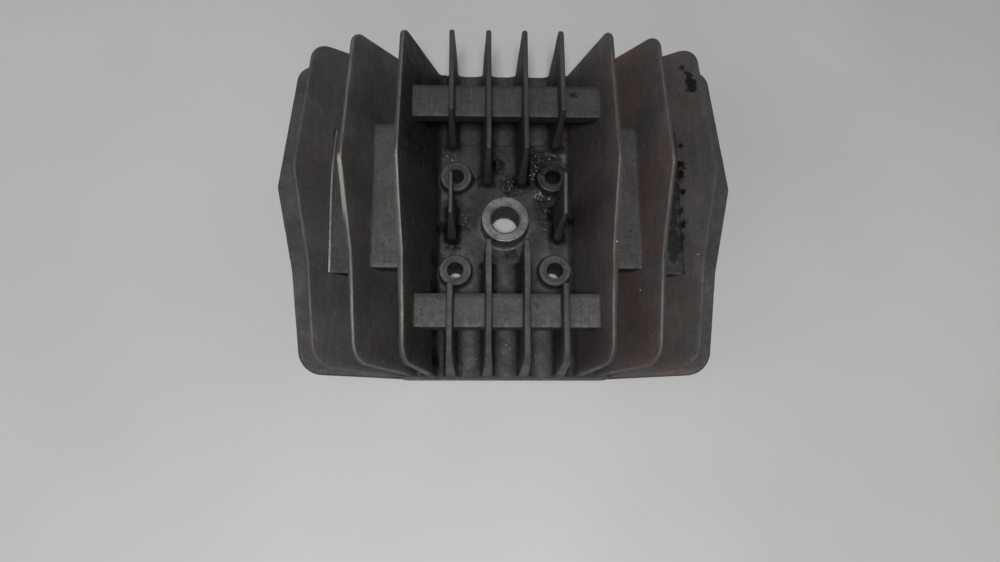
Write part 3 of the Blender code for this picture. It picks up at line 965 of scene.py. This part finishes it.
def floor_soot_and_shade(point):
    """How dark the floor is painted: soot and painted shade beside the fin roots, soot at the
    smudges with painted shadow under the far bar, and painted shade over the far half.
    """
    worst = 0.5 * ramp(14.0, 40.0, point.y)
    for x, y_low, y_high, reach in FOOTPRINTS:
        along = max(y_low - point.y, 0.0, point.y - y_high)
        distance = math.hypot(point.x - x * MM, along)
        worst = max(worst, 0.8 * smooth(reach * MM, 4.4 * MM, distance))
    for x, y, radius, strength in SMUDGES:
        distance = math.hypot(point.x - x * MM, point.y - y * MM)
        worst = max(worst, strength * smooth(radius * MM, 0.2 * radius * MM, distance))
    return worst


# %% The base casting
PLUG_CLEAR, STUD_CLEAR = 14.0 * MM, 9.5 * MM  # edges nearer to a hole's axis stay sharp
BASE_EDGE = 0.7 * MM
BASE_STEP = (2.0 * MM, 2.5 * MM)
bm = bmesh.new()
bm.from_mesh(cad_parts["base_plate"].data)
bmesh.ops.remove_doubles(bm, verts=bm.verts, dist=0.01 * MM)
bmesh.ops.dissolve_limit(bm, angle_limit=math.radians(0.6), verts=bm.verts, edges=bm.edges)
studs = [Vector((x, y, 0.0)) for x in (-STUD_X, STUD_X) for y in (-STUD_Y, STUD_Y)]


def clear_of_holes(point):
    flat = Vector((point.x, point.y, 0.0))
    return flat.length > PLUG_CLEAR and min((flat - stud).length for stud in studs) > STUD_CLEAR


long_edges = [
    e for e in bm.edges
    if len(e.link_faces) == 2
    and e.calc_face_angle(0.0) > math.radians(20.0)
    and min(v.co.z for v in e.verts) > 8.0 * MM
    and all(clear_of_holes(v.co) for v in e.verts)
]
bevelled(bm, long_edges, BASE_EDGE, 3, clamp=True)
cut_at(bm, spaced(base_low.x, base_high.x, BASE_STEP[0]), ALONG_X)
cut_at(bm, spaced(NEAR_Y, FAR_Y, BASE_STEP[1]), ALONG_Y)
wear, soot_and_shade = dirt_and_shade_layers(bm)
for vert in bm.verts:
    if vert.co.z > FLOOR_Z - 1.0 * MM:
        vert[soot_and_shade] = floor_soot_and_shade(vert.co)
        vert[wear] = 0.55 * ramp(3.2, 0.8, (vert.co - PALE_SPOT).length)
        # The plateau's step is painted darker, as shade in its crease
        step = min(abs(vert.co.y - end) for end in PLATEAU)
        vert[soot_and_shade] = max(vert[soot_and_shade], 0.45 * ramp(2.5, 0.3, step))
base = piece(bm, "cast_base", "floor", "cast_base", ["base_plate"])
print("base faces:", len(base.data.polygons), "edges rounded:", len(long_edges))

# %% [markdown]
# ## The stud bosses
# A nut sits on each boss, so its top is faced flat, with a worn rim, and its foot is filleted
# into the plate. A half section spun about the stud's axis gives it all in one closed ring.

# %% Spinning a half section
def spun(section, axis, steps=64):
    """A closed ring from (radius, height) corners in mm, spun about an upright axis."""
    bm = bmesh.new()
    places = [(axis.x + radius * MM, axis.y, height * MM) for radius, height in section]
    corners = [bm.verts.new(place) for place in places]
    edges = [bm.edges.new(pair) for pair in zip(corners, corners[1:] + corners[:1])]
    bmesh.ops.spin(
        bm, geom=corners + edges, cent=axis, axis=ALONG_Z, angle=2.0 * math.pi,
        steps=steps, use_merge=True, use_duplicate=False,
    )
    return bm


# %% Four stud bosses
BOSS_SECTION = [
    (3.95, 0.3), (3.95, 18.9), (4.8, 19.6), (5.8, 19.72), (6.05, 20.02), (7.3, 20.02),
    (7.75, 19.85), (7.95, 19.4), (8, 18.5), (8.25, 16.5), (8.6, 15.6), (9.2, 15.05),
    (9.4, 14.6), (5, 14.6), (5, 0.3),
]
for axis, spot in zip(studs, ("near_left", "far_left", "near_right", "far_right")):
    bm = spun(BOSS_SECTION, axis)
    wear, soot_and_shade = dirt_and_shade_layers(bm)
    for vert in bm.verts:
        co = vert.co
        radius = (Vector((co.x, co.y, 0.0)) - axis).length
        on_rim = ramp(1.3, 0.3, abs(radius - 7.0 * MM)) * (co.z > 19.9 * MM)
        vert[wear] = 0.0 if spot == "far_right" else 0.2 * on_rim
        # The outer wall, the foot and the recess round the hole are painted darker, as shade; the
        # far right boss's top is dark with oil
        recess = 0.75 * (radius < 5.9 * MM)
        top_soot = 0.8 if spot == "far_right" else 0.12
        wall = 0.95 * ramp(19.7, 18.6, co.z) * ramp(14.9, 16.6, co.z)
        foot = 0.3 * ramp(16.6, 15.2, co.z)
        vert[soot_and_shade] = max(wall, foot, recess, top_soot)
    piece(bm, f"stud_boss_{spot}", "floor", "cast_base", ["base_plate"], sharp=24.0)
print("stud bosses:", len(studs))

# %% [markdown]
# ## The plug's seat and thread
# The seat is a raised ring, turned flat. The plug's thread is the standard 14 mm one with
# 1.25 mm pitch. It could be a bump, but its crests show in the hole, so it is a ridge: a small
# wedge spun about the axis while it climbs.

# %% Plug seat
SEAT_SECTION = [
    (7, 7.7), (7, 24.5), (7.85, 25.25), (8.6, 25.25), (8.75, 25.4), (11.3, 25.4), (11.52, 25.3),
    (11.6, 25.1), (11.6, 24.5), (11.65, 17.2), (11.9, 16.1), (12.4, 15.4), (13.1, 15.05),
    (13.3, 14.6), (9.7, 14.6), (9.4, 7.7),
]
bm = spun(SEAT_SECTION, Vector((0.0, 0.0, 0.0)), 96)
_, soot_and_shade = dirt_and_shade_layers(bm)
for vert in bm.verts:
    radius = math.hypot(vert.co.x, vert.co.y)
    inside = radius < 7.4 * MM
    # Below the ring's top the outer wall is painted darker, as shade round the seat; inside the hole
    # the thread is dark with burnt oil
    wall = 0.95 - 0.35 * ramp(18.5, 15.0, vert.co.z)
    vert[soot_and_shade] = 0.72 if inside else wall * ramp(25.35, 24.6, vert.co.z)
piece(bm, "machined_plug_seat", "seat", "machined_seat", ["plug_seat"], sharp=17.0)

# %% Plug thread
PITCH, TURNS, THREAD_STEPS = 1.25, 12, 40
bm = bmesh.new()
wedge = [(7.15, 8.1), (6.35, 8.5), (6.35, 8.7), (7.15, 9.1)]
corners = [bm.verts.new((radius * MM, 0.0, height * MM)) for radius, height in wedge]
start = bm.faces.new(corners)
bmesh.ops.spin(
    bm, geom=[start] + start.edges[:] + corners, cent=(0.0, 0.0, 0.0), axis=ALONG_Z,
    dvec=(0.0, 0.0, PITCH * MM / THREAD_STEPS), angle=2.0 * math.pi * TURNS,
    steps=TURNS * THREAD_STEPS, use_duplicate=True,
)
_, soot_and_shade = dirt_and_shade_layers(bm)
for vert in bm.verts:
    vert[soot_and_shade] = 0.25
thread = piece(bm, "plug_thread", "seat", "machined_seat", ["plug_seat"], sharp=30.0)
print("thread height in mm:", round(thread.dimensions.z / MM, 2))

# %% [markdown]
# ## Crumbs, grit and a fleck of paint
# Baked oil breaks into crumbs that lie where the oil was thickest. They are real geometry,
# because flat specks would vanish from the side. Each crumb is a ball of few faces, squashed
# and turned at random from a fixed seed, so every run gives the same dirt.

# %% Crumbs
def crumbs(name, finish, heaps, seed):
    """Small rough balls. A heap is x, y, floor height, spread, count, least and most size in mm."""
    draw = random.Random(seed)
    bm = bmesh.new()
    for x, y, height, spread, count, least, most in heaps:
        for _ in range(count):
            size = draw.uniform(least, most) * MM / 2
            at_x, at_y = draw.gauss(x, spread) * MM, draw.gauss(y, spread) * MM
            place = Matrix.Translation((at_x, at_y, height * MM + size * 0.5))
            angle = draw.uniform(0.0, math.pi)
            turn = Matrix.Rotation(angle, 4, (draw.random(), draw.random(), 1.0))
            shares = [draw.uniform(0.7, 1.3), draw.uniform(0.7, 1.3), draw.uniform(0.5, 0.9)]
            squash = Matrix.Diagonal((*shares, 1.0))
            bmesh.ops.create_icosphere(
                bm, subdivisions=1, radius=size, matrix=place @ turn @ squash
            )
    made = piece(bm, name, finish, "cast_base")
    print(name, "faces:", len(made.data.polygons))


OIL_HEAPS = [
    (17, 31, 15, 2.8, 60, 0.3, 0.9), (14.5, 36, 15, 2.2, 25, 0.3, 0.8),
    (21, 35, 15, 2.4, 30, 0.3, 0.8), (3, 20, 15, 2.4, 16, 0.3, 0.8),
    (3, -15.8, 15, 1.2, 10, 0.3, 0.9), (-21.5, -1.5, 15, 1.0, 6, 0.3, 0.8),
]
# The last three are single grains that cling to the splayed fins on the right
GRIT_HEAPS = [
    (14, 27, 15.1, 2.2, 26, 0.25, 0.6), (17.5, 17.5, 15.1, 1.5, 36, 0.3, 0.75),
    (20, 34.5, 15.1, 3.0, 24, 0.25, 0.6), (3, 21.5, 15.1, 1.4, 10, 0.25, 0.7),
    (-26.5, 34.5, 15.1, 1.3, 6, 0.5, 1.1), (-20, 3, 15.1, 2.0, 8, 0.25, 0.6),
    (48.9, -23, 59.5, 0.02, 1, 0.8, 0.9), (62, -40.5, 40.8, 0.02, 1, 0.8, 0.9),
    (72.3, 19.5, 54.9, 0.02, 1, 0.6, 0.7),
]
crumbs("oil_crumbs", "tar", OIL_HEAPS, 7)
crumbs("pale_grit", "grit", GRIT_HEAPS, 11)
crumbs("red_fleck", "paint", [(-31, -72.5, 12, 0.5, 7, 0.9, 1.8)], 3)

# %% [markdown]
# ## Table and light
# The key lamp hangs high on the near side, so that light falls down the bolt holes onto the
# pale table, and a wide weak lamp on the left fills the shade. The world is bright near the
# horizon and dim overhead: the fins' sides get soft light, and the floor between stays dark.

# %% Table
def table_material():
    material, tree, shader, _, cloud = start_material("painted_table_top", 0.5, 0.0)
    wide = cloud(160.0, 0.3, 0.7, detail=2.0)
    fine = cloud(1.5, 0.3, 0.7, detail=2.0)
    colour = layer(tree, "#c1c1c0", wide, "#c7c7c6")
    tree.links.new(colour, shader.inputs["Base Color"])
    relief(tree, shader, [(fine, 0.01)])
    return material


TABLE_HALF_SIDE = 8.0
TABLE_GAP = 0.05 * MM  # keeps the table's top and the gasket face apart
bm = bmesh.new()
under = Matrix.Translation((0.0, 0.0, -TABLE_GAP))
bmesh.ops.create_grid(bm, x_segments=8, y_segments=8, size=TABLE_HALF_SIDE, matrix=under)
table_mesh = bpy.data.meshes.new("table_top")
bm.to_mesh(table_mesh)
bm.free()
table_mesh.materials.append(table_material())
table_top = placed("table_top", table_mesh)
table_top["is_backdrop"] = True

# %% Lamps and world
def lamp(name, place, aim, size, watts, colour):
    """A square soft lamp that faces a point."""
    data = bpy.data.lights.new(name, "AREA")
    data.shape = "SQUARE"
    data.size = size
    data.energy = watts
    data.color = linear(colour)[:3]
    obj = placed(name, data)
    obj.location = place
    obj.rotation_euler = (Vector(aim) - Vector(place)).to_track_quat("-Z", "Y").to_euler()


lamp("key_lamp", (-0.05, -0.365, 1.1), (-0.05, -0.12, 0.0), 0.2, 8.9, "#fffffd")
lamp("fill_lamp", (-1.0, -0.3, 0.9), (0.0, 0.0, 0.0), 0.9, 2.0, "#f8fbff")
world = bpy.data.worlds.new("room")
world.use_nodes = True
tree = world.node_tree
direction = node(tree, "TexCoord").outputs["Generated"]
height = node(tree, "SeparateXYZ", {"Vector": direction}).outputs["Z"]
glow = node(
    tree,
    "MapRange",
    {"Value": height, "From Min": 0.1, "From Max": 0.5, "To Min": 1.0, "To Max": 0.11},
)
tree.nodes["Background"].inputs["Color"].default_value = linear("#e9ecee")
tree.links.new(glow.outputs["Result"], tree.nodes["Background"].inputs["Strength"])
bpy.context.scene.world = world
bpy.context.scene.view_settings.view_transform = "Standard"

visual_low, visual_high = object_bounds()
print("visual size in mm:", [round(side / MM, 1) for side in visual_high - visual_low])
past = (*(cad_low - visual_low), *(visual_high - cad_high))
print("outside the CAD box in mm:", [round(length / MM, 2) for length in past])
